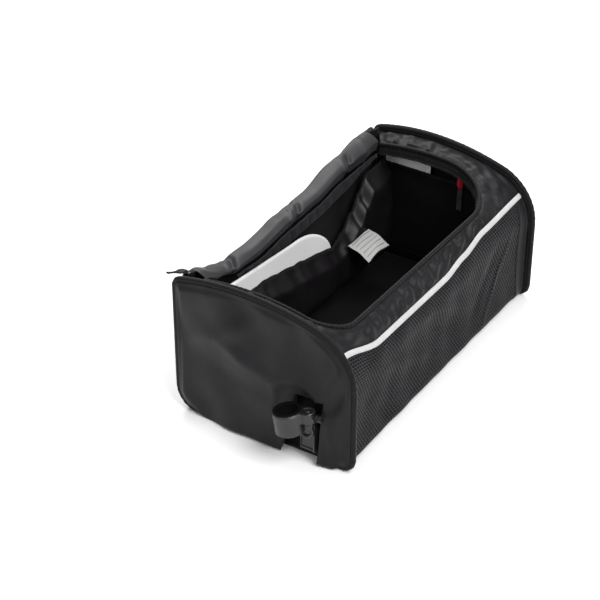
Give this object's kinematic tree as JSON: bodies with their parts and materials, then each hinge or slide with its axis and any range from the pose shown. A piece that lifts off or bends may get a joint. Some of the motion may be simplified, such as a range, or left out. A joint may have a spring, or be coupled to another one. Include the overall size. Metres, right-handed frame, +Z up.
{
  "type": "walker bag",
  "caption": "Boxy soft walker bag with stiff piped end panels, a netted front, an open zipped mouth, inner pockets and a tube clamp low on each end.",
  "frame": {"origin": "centre of the base's underside, on the surface the bag stands on", "axes": "+X along the bag's length, -Y towards the netted front, +Z up"},
  "size_m": [0.4452, 0.2131, 0.1645],
  "materials": {
    "black_nylon": "coated woven nylon, slight sheen",
    "black_net": "open net over dark lining, matte",
    "binding_tape": "woven tape, matte",
    "reflective_piping": "reflective coated cloth",
    "silver_plate": "satin silver film",
    "coated_lining": "coated cloth, satin",
    "white_label": "woven label, matte",
    "grey_webbing": "woven webbing, matte",
    "red_plastic": "glossy",
    "black_plastic": "satin moulded",
    "rubber_liner": "matte",
    "steel": "satin"
  },
  "bodies": {
    "root": {"left_panel": "black_nylon", "right_panel": "black_nylon", "left_piping": "binding_tape", "right_piping": "binding_tape", "base_board": "black_nylon", "left_rail": "black_plastic", "right_rail": "black_plastic", "front_net": "black_net", "reflective_seam": "reflective_piping", "top_band": "black_nylon", "mouth_binding": "binding_tape", "mouth_zip_tape": "binding_tape", "lid_zip_tape": "binding_tape", "zip_end": "binding_tape", "back_wall": "black_nylon", "lid": "coated_lining", "back_hem": "black_nylon", "back_pocket": "black_nylon", "left_lining": "black_nylon", "end_pocket": "black_nylon", "back_plate": "silver_plate", "end_plate": "silver_plate", "care_label": "white_label", "hang_strap": "grey_webbing", "red_tab": "red_plastic", "left_bracket": "black_plastic", "left_boss": "black_plastic", "left_clamp": "black_plastic", "left_liner": "rubber_liner", "left_bolt": "steel", "right_clamp": "black_plastic"}
  },
  "joints": []
}
